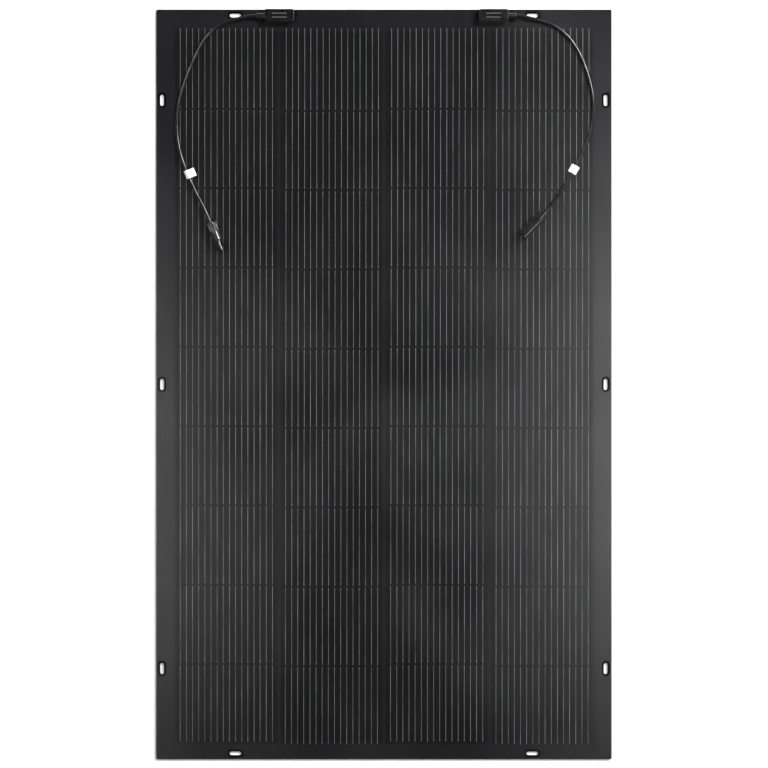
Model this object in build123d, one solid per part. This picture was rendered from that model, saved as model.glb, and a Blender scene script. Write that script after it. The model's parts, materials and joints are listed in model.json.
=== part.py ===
from build123d import *
import math
import os

# Flexible solar sheet: a thin laminate of 36 cells that lies flat on z = 0, its long side along Y,
# with two junction boxes on its top edge (+Y) and a lead with a plug-in connector from each box.
# Millimetres, +Z up, origin under the middle of the laminate.

# ---- laminate ----
SHEET_WIDTH = 808.0
SHEET_LENGTH = 1330.0
SHEET_CORNER_R = 3.0
BOARD_T = 1.10            # glass-fibre back board
REAR_ENCAPSULANT_T = 0.35
WIRE_T = 0.15
CELL_T = 0.20
FRONT_ENCAPSULANT_T = 0.30
FILM_T = 0.25             # embossed front film

# ---- cells and their wires ----
COLUMNS = 4
ROWS = 9
CELL_WIDTH = 182.0
CELL_LENGTH = 140.0
COLUMN_PITCH = 186.7
ROW_PITCH = 140.7
MATRIX_TOP_Y = 627.35
WIRES_PER_CELL = 16
WIRE_PITCH = 10.9
WIRE_WIDTH = 0.6
POCKET_MARGIN = 1.0       # clearance round the cells and ribbons in the encapsulant
FRONT_SETBACK = 4.8       # a front wire stops this far short of the far edge of its cell
REAR_SETBACK = 6.0

# ---- bus ribbons along the ends of the columns ----
BUS_WIDTH = 4.0
BUS_T = 0.20
BUS_OVERHANG = 1.9        # how far a ribbon passes the last wire
BUS_WIRE_LAP = 3.5
TAB_OFFSET = 9.0          # a tab's distance from the gap between two columns
TAB_WIDTH = 4.0
TAB_END_Y = 650.0
TAB_TOP_Z = 8.0

# ---- mounting slots ----
SLOT_LENGTH = 20.5
SLOT_WIDTH = 7.0
SIDE_SLOT_X = 393.5
SIDE_SLOT_YS = (504.0, 0.0, -504.0)
END_SLOT_XS = (-263.3, 263.3)
END_SLOT_Y = 654.5

# ---- bending: the sheet is divided at some of the gaps between rows ----
BAND_NAMES = ("rows_1_3", "row_4", "row_5", "row_6", "row_7", "rows_8_9")
BAND_FIRST_ROWS = (1, 4, 5, 6, 7, 8)

# ---- junction boxes ----
BOX_Y = 652.7
BOX_LENGTH = 52.0
BOX_WIDTH = 22.4
BOX_HEIGHT = 13.0
BOX_WALL = 1.6
BOX_CORNER_R = 3.6
BOX_INNER_CORNER_R = 0.5
BOX_FLOOR_T = 1.5
BOX_SPLIT = 6.0           # height of the joint between base and lid
LID_EDGE_R = 1.1
LID_LIP = 1.4
LIP_GAP = 0.1
FOOT_BACK = 5.0           # the base's foot passes the housing behind ...
FOOT_FRONT = 13.5         # ... and under the gland
LEFT_BOX_FRONT_X = -211.0
RIGHT_BOX_FRONT_X = 220.0
RIB_LENGTH = 26.0
RIB_WIDTH = 1.0
RIB_HEIGHT = 0.3
RIB_SPACING = 7.0
WINDOW_LENGTH = 24.0
WINDOW_Y = (647.5, 652.5)
TERMINAL_T = 1.0
TERMINAL_WIDTH = 8.0
TERMINAL_DEPTH = 8.0
DIODE_R = 2.5
DIODE_LENGTH = 9.0
DIODE_LEG_R = 0.5
DIODE_Y = 655.0
DIODE_Z = 8.6

# ---- glands ----
GLAND_R = 5.0
GLAND_LENGTH = 14.0
GLAND_RISE = 6.6          # gland axis above the front film
GLAND_GROOVES = 3
GLAND_GROOVE = 0.7
GLAND_GROOVE_WIDTH = 1.3
GLAND_GROOVE_PITCH = 3.0
SPIGOT_R = 3.5
SPIGOT_GAP = 0.05
CUT_PAST = 1.0            # how far a cutter passes the surface that it cuts

# ---- leads and their labels ----
LEAD_R = 2.75
LEFT_ROUTE = [(-225.0, 652.7, 9.1), (-237.0, 652.7, 9.1), (-258.5, 648.4, 7.9), (-281.5, 640.6, 6.2),
              (-302.5, 629.0, 5.5), (-319.5, 611.0, 5.5), (-331.5, 587.5, 5.5), (-343.5, 561.0, 5.5),
              (-354.0, 534.0, 5.5), (-362.5, 504.5, 5.5), (-367.3, 472.5, 5.5), (-367.3, 440.5, 5.5),
              (-361.0, 407.0, 5.7), (-350.0, 376.0, 5.9), (-335.0, 343.0, 6.8)]
RIGHT_ROUTE = [(234.0, 652.7, 9.1), (245.5, 652.7, 9.1), (264.5, 647.6, 7.9), (287.5, 641.6, 6.3),
               (309.5, 631.6, 5.5), (328.5, 615.5, 5.5), (344.0, 593.0, 5.5), (355.8, 566.5, 5.5),
               (364.8, 538.5, 5.5), (370.6, 509.0, 5.5), (371.8, 478.5, 5.5), (367.5, 447.0, 5.5),
               (353.5, 411.5, 5.7), (334.8, 377.5, 5.9), (313.6, 340.9, 7.0)]
LEFT_PLUG = (-307.0, 286.2, 11.35)      # middle of the cap nut's outer end
RIGHT_PLUG = (286.2, 304.6, 11.35)
LEFT_PLUG_HEADING = -68.0               # degrees in the XY plane, pointing at the mating end
RIGHT_PLUG_HEADING = -135.0
LEFT_APPROACH = 20.0                    # length of lead in line with the connector
RIGHT_APPROACH = 14.0
RUN_SHARE = 0.45                        # share of the shorter run that each bend takes
LABEL_LENGTH = 15.0
LABEL_T = 0.25
LABEL_BORE_R = 2.95
LEFT_LABEL_SPAN = (-4.4, 14.4)          # reach on each side of the lead
RIGHT_LABEL_SPAN = (-7.4, 7.4)
LEFT_LABEL_DISTANCE = 107.0             # along the lead from its end in the connector
RIGHT_LABEL_DISTANCE = 104.0

# ---- connectors, along their own axis from the cap nut's outer end ----
NUT_LENGTH = 17.0
NUT_R = 8.75
NUT_EDGE_R = 2.0
NUT_END_WALL = 2.8
NUT_HOLE_R = 3.15
NUT_BORE_R = 7.0
NUT_FLUTES = 14
FLUTE_R = 1.1
FLUTE_START = 3.0
TAIL_START = 3.0
TAIL_R = 6.92
SEAL_DEPTH = 8.0
SEAL_R = 5.5
SEAL_BORE_R = 2.8
SHOULDER = 17.3
BARREL_BORE_R = 3.05
LEAD_END = 12.0
CRIMP_R = 2.7
CRIMP_END = 22.0
CONTACT_R = 2.9

PROBE_BODY_END = 34.0
PROBE_BODY_R = 8.2
PROBE_BODY_EDGE_R = 0.8
PROBE_ROOT = 1.0          # how deep the probe starts inside the body
PROBE_R = 3.95
PROBE_END = 52.0
SOCKET_R = 2.05
SOCKET_DEPTH = 14.0
SOCKET_END = 51.5
RING_SPAN = (34.3, 37.6)
RING_R = 4.9
RING_GAP = 0.02
FINGER_START = 30.6
FINGER_PIVOT = 31.8
FINGER_END = 54.4
FINGER_INNER = 5.7
FINGER_OUTER = 7.3
FINGER_HALF_HEIGHT = 2.2
BARB_START = 45.5
BARB_PEAK = 47.5
BARB_OUT = 1.2
NOTCH_GAP = 0.4

SOCKET_BODY_END = 59.0
SOCKET_BODY_WIDTH = 18.0
SOCKET_BODY_HEIGHT = 15.6
SOCKET_BODY_CORNER_R = 5.2
MOUTH_EDGE_R = 0.7
CAVITY_START = 34.0
CAVITY_R = 5.6
CAVITY_HALF_WIDTH = 7.7
CAVITY_HALF_HEIGHT = 2.7
CATCH_SPAN = (44.0, 51.0)
PIN_R = 2.0
PIN_END = 54.0
COLLAR_T = 0.6
COLLAR_WIDTH = 4.0
GRIP_PITCH = 2.6
GRIP_DEPTH = 0.5
GRIP_HALF_HEIGHT = 3.5
PROBE_GRIPS = 4
SOCKET_GRIPS = 6

# ---- levels and places that follow ----
Z_REAR_ENCAPSULANT = BOARD_T
Z_REAR_WIRE = Z_REAR_ENCAPSULANT + REAR_ENCAPSULANT_T
Z_CELL = Z_REAR_WIRE + WIRE_T
Z_FRONT_WIRE = Z_CELL + CELL_T
Z_FRONT_ENCAPSULANT = Z_FRONT_WIRE + WIRE_T
Z_FILM = Z_FRONT_ENCAPSULANT + FRONT_ENCAPSULANT_T
Z_TOP = Z_FILM + FILM_T
ROW_GAP = ROW_PITCH - CELL_LENGTH
MATRIX_BOTTOM_Y = MATRIX_TOP_Y - (ROWS - 1) * ROW_PITCH - CELL_LENGTH
COLUMN_XS = [(column - (COLUMNS - 1) / 2) * COLUMN_PITCH for column in range(COLUMNS)]
WIRE_OFFSETS = [(wire - (WIRES_PER_CELL - 1) / 2) * WIRE_PITCH for wire in range(WIRES_PER_CELL)]
TOP_BUS_Y = MATRIX_TOP_Y + ROW_GAP + BUS_WIDTH / 2
BOTTOM_BUS_Y = MATRIX_BOTTOM_Y - ROW_GAP - BUS_WIDTH / 2
GLAND_Z = Z_TOP + GLAND_RISE
POCKET_HALF_WIDTH = COLUMN_XS[-1] + CELL_WIDTH / 2 + POCKET_MARGIN


def block(x_range, y_range, z_range):
    """A plain box between the given limits."""
    size = [abs(high - low) for low, high in (x_range, y_range, z_range)]
    middle = [(high + low) / 2 for low, high in (x_range, y_range, z_range)]
    return Pos(*middle) * Box(*size)


def rod(radius, start, end):
    """A cylinder along +X from start to end."""
    return Pos((start + end) / 2, 0, 0) * Rot(0, 90, 0) * Cylinder(radius, end - start)


def save(name, *solids):
    """Write one node, as a single solid or as a group of separate ones."""
    shape = solids[0] if len(solids) == 1 else Compound(children=list(solids))
    export_step(shape, f"parts/{name}.step")


def row_top(row):
    return MATRIX_TOP_Y - (row - 1) * ROW_PITCH


def row_gap_y(row):
    """Middle of the gap below a row."""
    return row_top(row) - CELL_LENGTH - ROW_GAP / 2


def band_rows(band):
    last = BAND_FIRST_ROWS[band + 1] - 1 if band + 1 < len(BAND_NAMES) else ROWS
    return range(BAND_FIRST_ROWS[band], last + 1)


def band_limits(band):
    """Lower and upper edge of a band: the sheet's own edge, or the edge of its last cell."""
    rows = band_rows(band)
    top = SHEET_LENGTH / 2 if band == 0 else row_top(rows[0])
    bottom = -SHEET_LENGTH / 2 if rows[-1] == ROWS else row_top(rows[-1]) - CELL_LENGTH
    return bottom, top


# ---- laminate layers ----

def slot_sketch():
    slots = Sketch()
    for x in (-SIDE_SLOT_X, SIDE_SLOT_X):
        for y in SIDE_SLOT_YS:
            slots += Pos(x, y) * Rot(0, 0, 90) * SlotOverall(SLOT_LENGTH, SLOT_WIDTH)
    for x in END_SLOT_XS:
        for y in (END_SLOT_Y, -END_SLOT_Y):
            slots += Pos(x, y) * SlotOverall(SLOT_LENGTH, SLOT_WIDTH)
    return slots


def band_sketch(band):
    bottom, top = band_limits(band)
    outline = RectangleRounded(SHEET_WIDTH, SHEET_LENGTH, SHEET_CORNER_R)
    strip = Pos(0, (bottom + top) / 2) * Rectangle(SHEET_WIDTH, top - bottom)
    return outline & strip


def layer(sketch, z, thickness):
    return extrude(Pos(0, 0, z) * sketch, thickness)


def window(side, low, high):
    """The hole under a junction box through which the ribbon tabs rise."""
    middle = side * COLUMN_PITCH
    return block((middle - WINDOW_LENGTH / 2, middle + WINDOW_LENGTH / 2), WINDOW_Y, (low, high))


def front_encapsulant(band, sketch):
    """Fills the border down to the rear encapsulant, with a pocket for cells, wires and ribbons."""
    bottom, top = band_limits(band)
    sheet = layer(sketch, Z_REAR_WIRE, Z_FILM - Z_REAR_WIRE)
    pocket_top = min(top, TOP_BUS_Y + BUS_WIDTH / 2 + POCKET_MARGIN)
    pocket_bottom = max(bottom, BOTTOM_BUS_Y - BUS_WIDTH / 2 - POCKET_MARGIN)
    pocket_x = (-POCKET_HALF_WIDTH, POCKET_HALF_WIDTH)
    sheet -= block(pocket_x, (pocket_bottom, pocket_top), (Z_REAR_WIRE, Z_FRONT_ENCAPSULANT))
    if band == 0:
        for side in (-1, 1):
            reach = side * COLUMN_PITCH
            tabs_x = (reach - WINDOW_LENGTH / 2, reach + WINDOW_LENGTH / 2)
            sheet -= block(tabs_x, (pocket_top, WINDOW_Y[1]), (Z_REAR_WIRE, Z_FRONT_ENCAPSULANT))
            sheet -= window(side, Z_FRONT_ENCAPSULANT, Z_FILM)
    return sheet


def front_film(band, sketch):
    film = layer(sketch, Z_FILM, FILM_T)
    if band == 0:
        for side in (-1, 1):
            film -= window(side, Z_FILM, Z_TOP)
    return film


def cells(band):
    found = []
    for row in band_rows(band):
        top = row_top(row)
        for x in COLUMN_XS:
            width = (x - CELL_WIDTH / 2, x + CELL_WIDTH / 2)
            found.append(block(width, (top - CELL_LENGTH, top), (Z_CELL, Z_CELL + CELL_T)))
    return found


# ---- wires: flat, on the front of one cell and on the rear of the next ----

def straight_wire(y_low, y_high, z):
    return block((-WIRE_WIDTH / 2, WIRE_WIDTH / 2), (y_low, y_high), (z, z + WIRE_T))


def stepped_wire(gap_y, front_side, front_length, rear_length):
    """One wire that steps down through the gap at gap_y. front_side is +1 where its front part
    lies on the +Y side of the gap."""
    front_z = Z_FRONT_WIRE + WIRE_T
    half = WIRE_T / 2
    outline = [(front_length, front_z), (front_length, Z_FRONT_WIRE), (half, Z_FRONT_WIRE),
               (half, Z_REAR_WIRE), (-rear_length, Z_REAR_WIRE), (-rear_length, Z_CELL),
               (-half, Z_CELL), (-half, front_z)]
    points = [(0, gap_y + front_side * along, z) for along, z in outline]
    profile = make_face(Polyline(*points, close=True))
    return Pos(-WIRE_WIDTH / 2, 0, 0) * extrude(profile, amount=WIRE_WIDTH, dir=(1, 0, 0))


def wire_pieces(band, rising):
    """The wires of one column, at x = 0. In a rising column each wire runs from the front of its
    cell to the rear of the cell above, in the others to the rear of the cell below."""
    front_side = -1 if rising else 1
    front_length = CELL_LENGTH - FRONT_SETBACK + ROW_GAP / 2
    rear_length = CELL_LENGTH - REAR_SETBACK + ROW_GAP / 2
    rows = band_rows(band)
    pieces = []
    for row in rows[:-1]:
        pieces.append(stepped_wire(row_gap_y(row), front_side, front_length, rear_length))
    top = row_top(rows[0])
    bottom = row_top(rows[-1]) - CELL_LENGTH
    upper_bus_end = MATRIX_TOP_Y + ROW_GAP + BUS_WIRE_LAP
    lower_bus_end = MATRIX_BOTTOM_Y - ROW_GAP - BUS_WIRE_LAP
    if rising:
        front_end = upper_bus_end if band == 0 else top
        pieces.append(straight_wire(top - CELL_LENGTH + FRONT_SETBACK, front_end, Z_FRONT_WIRE))
        rear_end = lower_bus_end if rows[-1] == ROWS else bottom
        pieces.append(straight_wire(rear_end, bottom + CELL_LENGTH - REAR_SETBACK, Z_REAR_WIRE))
        return pieces
    if band == 0:
        gap_y = MATRIX_TOP_Y + ROW_GAP / 2
        pieces.append(stepped_wire(gap_y, 1, upper_bus_end - gap_y, rear_length))
    else:
        pieces.append(straight_wire(top - CELL_LENGTH + REAR_SETBACK, top, Z_REAR_WIRE))
    if rows[-1] == ROWS:
        gap_y = MATRIX_BOTTOM_Y - ROW_GAP / 2
        pieces.append(stepped_wire(gap_y, 1, front_length, gap_y - lower_bus_end))
    else:
        pieces.append(straight_wire(bottom, bottom + CELL_LENGTH - FRONT_SETBACK, Z_FRONT_WIRE))
    return pieces


def wires(band):
    found = []
    for column, x in enumerate(COLUMN_XS):
        for piece in wire_pieces(band, rising=column % 2 == 0):
            for offset in WIRE_OFFSETS:
                found.append(Pos(x + offset, 0, 0) * piece)
    return found


# ---- bus ribbons ----

def tab(x):
    """Runs up the sheet from a ribbon and rises into the junction box."""
    width = (x - TAB_WIDTH / 2, x + TAB_WIDTH / 2)
    flat = block(width, (TOP_BUS_Y, TAB_END_Y), (Z_CELL, Z_CELL + BUS_T))
    riser = block(width, (TAB_END_Y - BUS_T, TAB_END_Y), (Z_CELL, TAB_TOP_Z))
    return flat + riser


def ribbon(x_low, x_high, y):
    return block((x_low, x_high), (y - BUS_WIDTH / 2, y + BUS_WIDTH / 2), (Z_CELL, Z_CELL + BUS_T))


def top_ribbons():
    outer_end = COLUMN_XS[-1] + WIRE_OFFSETS[-1] + BUS_OVERHANG
    inner_end = COLUMN_PITCH - TAB_OFFSET + TAB_WIDTH / 2
    outer_start = COLUMN_PITCH + TAB_OFFSET - TAB_WIDTH / 2
    middle = ribbon(-inner_end, inner_end, TOP_BUS_Y)
    middle += tab(-COLUMN_PITCH + TAB_OFFSET)
    middle += tab(COLUMN_PITCH - TAB_OFFSET)
    left = ribbon(-outer_end, -outer_start, TOP_BUS_Y) + tab(-COLUMN_PITCH - TAB_OFFSET)
    right = ribbon(outer_start, outer_end, TOP_BUS_Y) + tab(COLUMN_PITCH + TAB_OFFSET)
    return left, middle, right


def bottom_ribbons():
    inner_end = COLUMN_XS[2] + WIRE_OFFSETS[0] - BUS_OVERHANG
    outer_end = COLUMN_XS[-1] + WIRE_OFFSETS[-1] + BUS_OVERHANG
    return ribbon(-outer_end, -inner_end, BOTTOM_BUS_Y), ribbon(inner_end, outer_end, BOTTOM_BUS_Y)


# ---- junction boxes, drawn with the front wall's outer face at x = 0 and the gland along +X ----

def housing_prism(inset, low, high):
    """The housing's outline, moved in by inset, between two heights above the film."""
    length = BOX_LENGTH - 2 * inset
    width = BOX_WIDTH - 2 * inset
    outline = RectangleRounded(length, width, max(BOX_CORNER_R - inset, BOX_INNER_CORNER_R))
    return extrude(Pos(-BOX_LENGTH / 2, 0, Z_TOP + low) * outline, high - low)


def gland_hole():
    return Pos(0, 0, GLAND_Z) * rod(SPIGOT_R, -2 * BOX_WALL, BOX_WALL)


def box_base():
    foot_length = BOX_LENGTH + FOOT_BACK + FOOT_FRONT
    foot_middle = (FOOT_FRONT - FOOT_BACK - BOX_LENGTH) / 2
    foot = RectangleRounded(foot_length, BOX_WIDTH, BOX_CORNER_R)
    base = extrude(Pos(foot_middle, 0, Z_TOP) * foot, BOX_FLOOR_T)
    base += housing_prism(0, BOX_FLOOR_T, BOX_SPLIT)
    base -= housing_prism(BOX_WALL, BOX_FLOOR_T, BOX_SPLIT)
    return base - gland_hole()


def box_lid():
    shell = housing_prism(0, BOX_SPLIT, BOX_HEIGHT)
    top_edges = shell.edges().group_by(Axis.Z)[-1]
    shell = fillet(top_edges, LID_EDGE_R)
    lip = housing_prism(BOX_WALL + LIP_GAP, BOX_SPLIT - LID_LIP, BOX_SPLIT)
    hollow = housing_prism(2 * BOX_WALL, BOX_SPLIT - LID_LIP, BOX_HEIGHT - BOX_WALL)
    lid = shell + lip - hollow
    for side in (-0.5, 0.5):
        rib = Box(RIB_LENGTH, RIB_WIDTH, 2 * RIB_HEIGHT)
        lid += Pos(-BOX_LENGTH / 2, side * RIB_SPACING, Z_TOP + BOX_HEIGHT) * rib
    return lid - gland_hole()


def cable_gland():
    neck = rod(GLAND_R, 0, GLAND_LENGTH)
    end_edge = neck.edges().filter_by(GeomType.CIRCLE).sort_by(Axis.X)[-1]
    neck = fillet(end_edge, GLAND_GROOVE)
    for groove in range(GLAND_GROOVES):
        start = GLAND_GROOVE_PITCH * (groove + 1)
        end = start + GLAND_GROOVE_WIDTH
        neck -= rod(GLAND_R + CUT_PAST, start, end) - rod(GLAND_R - GLAND_GROOVE, start, end)
    spigot = rod(SPIGOT_R - SPIGOT_GAP, -BOX_WALL, 0)
    return Pos(0, 0, GLAND_Z) * (neck + spigot)


def place_on_box(shape, side):
    """side is -1 for the left box, whose gland points to -X, and +1 for the right one."""
    if side > 0:
        return Pos(RIGHT_BOX_FRONT_X, BOX_Y, 0) * shape
    return Pos(LEFT_BOX_FRONT_X, BOX_Y, 0) * shape.mirror(Plane.YZ)


def terminals(side):
    """Two copper plates on the base's floor, each soldered to the end of a ribbon tab."""
    low = Z_TOP + BOX_FLOOR_T
    found = []
    for offset in (-TAB_OFFSET, TAB_OFFSET):
        x = side * COLUMN_PITCH + offset
        width = (x - TERMINAL_WIDTH / 2, x + TERMINAL_WIDTH / 2)
        found.append(block(width, (TAB_END_Y, TAB_END_Y + TERMINAL_DEPTH), (low, low + TERMINAL_T)))
    return found


def diode(side):
    """Bridges the two terminals, on legs that stand on the plates."""
    plate_z = Z_TOP + BOX_FLOOR_T + TERMINAL_T
    body = rod(DIODE_R, -DIODE_LENGTH / 2, DIODE_LENGTH / 2)
    body += rod(DIODE_LEG_R, -TAB_OFFSET, TAB_OFFSET)
    leg_height = DIODE_Z - plate_z
    for x in (-TAB_OFFSET, TAB_OFFSET):
        body += Pos(x, 0, -leg_height / 2) * Cylinder(DIODE_LEG_R, leg_height)
        body += Pos(x, 0, 0) * Sphere(DIODE_LEG_R)
    return Pos(side * COLUMN_PITCH, DIODE_Y, DIODE_Z) * body


# ---- connectors, drawn from x = 0 at the cap nut's outer end, with the mating end along +X ----

def cap_nut():
    nut = rod(NUT_R, 0, NUT_LENGTH)
    outer_edge = nut.edges().filter_by(GeomType.CIRCLE).sort_by(Axis.X)[0]
    nut = fillet(outer_edge, NUT_EDGE_R)
    for flute in range(NUT_FLUTES):
        turn = 360.0 / NUT_FLUTES * flute
        groove = Pos(0, 0, NUT_R + FLUTE_R / 2) * rod(FLUTE_R, FLUTE_START, NUT_LENGTH)
        nut -= Rot(turn, 0, 0) * groove
    return nut - rod(NUT_HOLE_R, 0, NUT_END_WALL) - rod(NUT_BORE_R, NUT_END_WALL, NUT_LENGTH)


def cable_seal():
    return rod(SEAL_R, TAIL_START, TAIL_START + SEAL_DEPTH) - rod(SEAL_BORE_R, TAIL_START, LEAD_END)


def tail_and_bore(body, end):
    """Adds the threaded tail that the cap nut turns on, and opens the seal's seat and the bore."""
    body += rod(TAIL_R, TAIL_START, SHOULDER)
    body -= rod(SEAL_R, TAIL_START, TAIL_START + SEAL_DEPTH)
    return body - rod(BARREL_BORE_R, TAIL_START, end)


def grip_grooves(half_width, start, count):
    """Short cross grooves for the fingers, on both flanks."""
    grooves = []
    for groove in range(count):
        x = start + groove * GRIP_PITCH
        for side in (-1, 1):
            flank = side * half_width
            grooves.append(block((x, x + GRIP_PITCH / 2), (flank - GRIP_DEPTH, flank + GRIP_DEPTH),
                                 (-GRIP_HALF_HEIGHT, GRIP_HALF_HEIGHT)))
    return grooves


def probe_body():
    """Plug with a hollow probe between two latch fingers."""
    body = rod(PROBE_BODY_R, SHOULDER, PROBE_BODY_END)
    edges = body.edges().filter_by(GeomType.CIRCLE)
    body = fillet(edges, PROBE_BODY_EDGE_R)
    for side in (-1, 1):
        inner = side * (FINGER_INNER - NOTCH_GAP * 2)
        outer = side * (PROBE_BODY_R + CUT_PAST)
        notch_z = FINGER_HALF_HEIGHT + NOTCH_GAP
        body -= block((FINGER_START - NOTCH_GAP, PROBE_BODY_END), (inner, outer), (-notch_z, notch_z))
    body -= grip_grooves(PROBE_BODY_R, SHOULDER + GRIP_PITCH / 2, PROBE_GRIPS)
    body += rod(PROBE_R, PROBE_BODY_END - PROBE_ROOT, PROBE_END)
    return tail_and_bore(body, PROBE_END)


def latch_finger(side):
    """A flat spring arm with a barb near its tip."""
    outline = [(FINGER_START, FINGER_INNER), (FINGER_END, FINGER_INNER),
               (FINGER_END, FINGER_OUTER - BARB_OUT / 2), (BARB_PEAK, FINGER_OUTER + BARB_OUT),
               (BARB_START, FINGER_OUTER + BARB_OUT), (BARB_START, FINGER_OUTER),
               (FINGER_START, FINGER_OUTER)]
    points = [(x, side * y, -FINGER_HALF_HEIGHT) for x, y in outline]
    return extrude(make_face(Polyline(*points, close=True)), amount=2 * FINGER_HALF_HEIGHT, dir=(0, 0, 1))


def seal_ring():
    return rod(RING_R, *RING_SPAN) - rod(PROBE_R + RING_GAP, *RING_SPAN)


def socket_contact():
    contact = rod(CRIMP_R, LEAD_END, CRIMP_END) + rod(CONTACT_R, CRIMP_END, SOCKET_END)
    return contact - rod(SOCKET_R, SOCKET_END - SOCKET_DEPTH, SOCKET_END)


def socket_body():
    """Barrel that takes the probe and its fingers, with a catch window in each flank."""
    section = Plane.YZ.offset(SHOULDER) * RectangleRounded(SOCKET_BODY_WIDTH, SOCKET_BODY_HEIGHT,
                                                           SOCKET_BODY_CORNER_R)
    body = extrude(section, SOCKET_BODY_END - SHOULDER)
    mouth = body.edges().group_by(Axis.X)[-1]
    body = fillet(mouth, MOUTH_EDGE_R)
    collar_section = Plane.YZ.offset(SOCKET_BODY_END - 2 * COLLAR_WIDTH) * RectangleRounded(
        SOCKET_BODY_WIDTH + 2 * COLLAR_T, SOCKET_BODY_HEIGHT + 2 * COLLAR_T,
        SOCKET_BODY_CORNER_R + COLLAR_T)
    body += extrude(collar_section, COLLAR_WIDTH)
    body -= grip_grooves(SOCKET_BODY_WIDTH / 2, SHOULDER + GRIP_PITCH, SOCKET_GRIPS)
    body -= rod(CAVITY_R, CAVITY_START, SOCKET_BODY_END)
    half_z = (-CAVITY_HALF_HEIGHT, CAVITY_HALF_HEIGHT)
    body -= block((CAVITY_START, SOCKET_BODY_END), (-CAVITY_HALF_WIDTH, CAVITY_HALF_WIDTH), half_z)
    body -= block(CATCH_SPAN, (-SOCKET_BODY_WIDTH, SOCKET_BODY_WIDTH), half_z)
    return tail_and_bore(body, CAVITY_START)


def contact_pin():
    pin = rod(CRIMP_R, LEAD_END, CRIMP_END) + rod(CONTACT_R, CRIMP_END, CAVITY_START)
    tip = rod(PIN_R, CAVITY_START, PIN_END)
    tip = fillet(tip.edges().filter_by(GeomType.CIRCLE).sort_by(Axis.X)[-1], PIN_R / 2)
    return pin + tip


def at_plug(shape, place, heading):
    return Pos(*place) * Rot(0, 0, heading) * shape


# ---- leads ----

def lead_points(route, place, heading, approach):
    """The whole route: into line with the connector, then inside it up to its contact."""
    inward = Vector(1, 0, 0).rotate(Axis.Z, heading)
    ends = [Vector(*place) - inward * approach, Vector(*place) + inward * LEAD_END]
    return [Vector(*point) for point in route] + ends


def lead_path(points):
    radii = []
    for before, here, after in zip(points, points[1:], points[2:]):
        turn = math.radians((here - before).get_angle(after - here))
        shorter = min((here - before).length, (after - here).length)
        radii.append(RUN_SHARE * shorter / math.tan(turn / 2))
    return FilletPolyline(*points, radius=radii), radii


def lead(name, path, radii):
    start = Plane(origin=path @ 0, z_dir=path % 0)
    tube = sweep(start * Circle(LEAD_R), path=path)
    expected = math.pi * LEAD_R ** 2 * path.length
    print(name, "length", round(path.length, 1), "volume ratio", round(tube.volume / expected, 4),
          "radii", [round(radius) for radius in radii])
    return tube


def lead_label(path, distance, span):
    """A folded sticker round the lead: two wings with a loop in the middle."""
    where = 1 - distance / path.length
    along = (path % where).normalized()
    across = along.cross(Vector(0, 0, 1)).normalized()
    frame = Plane(origin=path @ where, x_dir=across, z_dir=along)
    loop = Circle(LABEL_BORE_R + LABEL_T)
    wings = Pos((span[0] + span[1]) / 2, 0) * Rectangle(span[1] - span[0], 2 * LABEL_T)
    section = loop + wings - Circle(LABEL_BORE_R)
    return extrude(frame * section, amount=LABEL_LENGTH / 2, both=True)


# ---- build ----

os.makedirs("parts", exist_ok=True)

slots = slot_sketch()
for band, band_name in enumerate(BAND_NAMES):
    sketch = band_sketch(band) - slots
    save("back_board_" + band_name, layer(sketch, 0, BOARD_T))
    save("rear_encapsulant_" + band_name, layer(sketch, Z_REAR_ENCAPSULANT, REAR_ENCAPSULANT_T))
    save("cells_" + band_name, *cells(band))
    save("cell_wires_" + band_name, *wires(band))
    save("front_encapsulant_" + band_name, front_encapsulant(band, sketch))
    save("front_film_" + band_name, front_film(band, sketch))
save("top_bus_ribbons", *top_ribbons())
save("bottom_bus_ribbons", *bottom_ribbons())

for side, side_name in ((-1, "left"), (1, "right")):
    base = place_on_box(box_base(), side) - window(side, Z_TOP, Z_TOP + BOX_FLOOR_T)
    save("junction_box_base_" + side_name, base)
    save("junction_box_lid_" + side_name, place_on_box(box_lid(), side))
    save("cable_gland_" + side_name, place_on_box(cable_gland(), side))
save("box_terminals", *terminals(-1), *terminals(1))
save("bypass_diodes", diode(-1), diode(1))

left_at = (LEFT_PLUG, LEFT_PLUG_HEADING)
right_at = (RIGHT_PLUG, RIGHT_PLUG_HEADING)
left_path, left_radii = lead_path(lead_points(LEFT_ROUTE, *left_at, LEFT_APPROACH))
right_path, right_radii = lead_path(lead_points(RIGHT_ROUTE, *right_at, RIGHT_APPROACH))
save("lead_left", lead("lead_left", left_path, left_radii))
save("lead_right", lead("lead_right", right_path, right_radii))
save("lead_label_left", lead_label(left_path, LEFT_LABEL_DISTANCE, LEFT_LABEL_SPAN))
save("lead_label_right", lead_label(right_path, RIGHT_LABEL_DISTANCE, RIGHT_LABEL_SPAN))

save("probe_connector_body", at_plug(probe_body(), *left_at))
save("probe_cap_nut", at_plug(cap_nut(), *left_at))
save("probe_seal_ring", at_plug(seal_ring(), *left_at))
save("probe_contact", at_plug(socket_contact(), *left_at))
save("probe_latch_finger_a", at_plug(latch_finger(1), *left_at))
save("probe_latch_finger_b", at_plug(latch_finger(-1), *left_at))
save("socket_connector_body", at_plug(socket_body(), *right_at))
save("socket_cap_nut", at_plug(cap_nut(), *right_at))
save("socket_contact_pin", at_plug(contact_pin(), *right_at))
save("connector_cable_seals", at_plug(cable_seal(), *left_at), at_plug(cable_seal(), *right_at))
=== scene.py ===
import json
import math
import random

import bpy
from mathutils import Matrix, Vector


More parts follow.
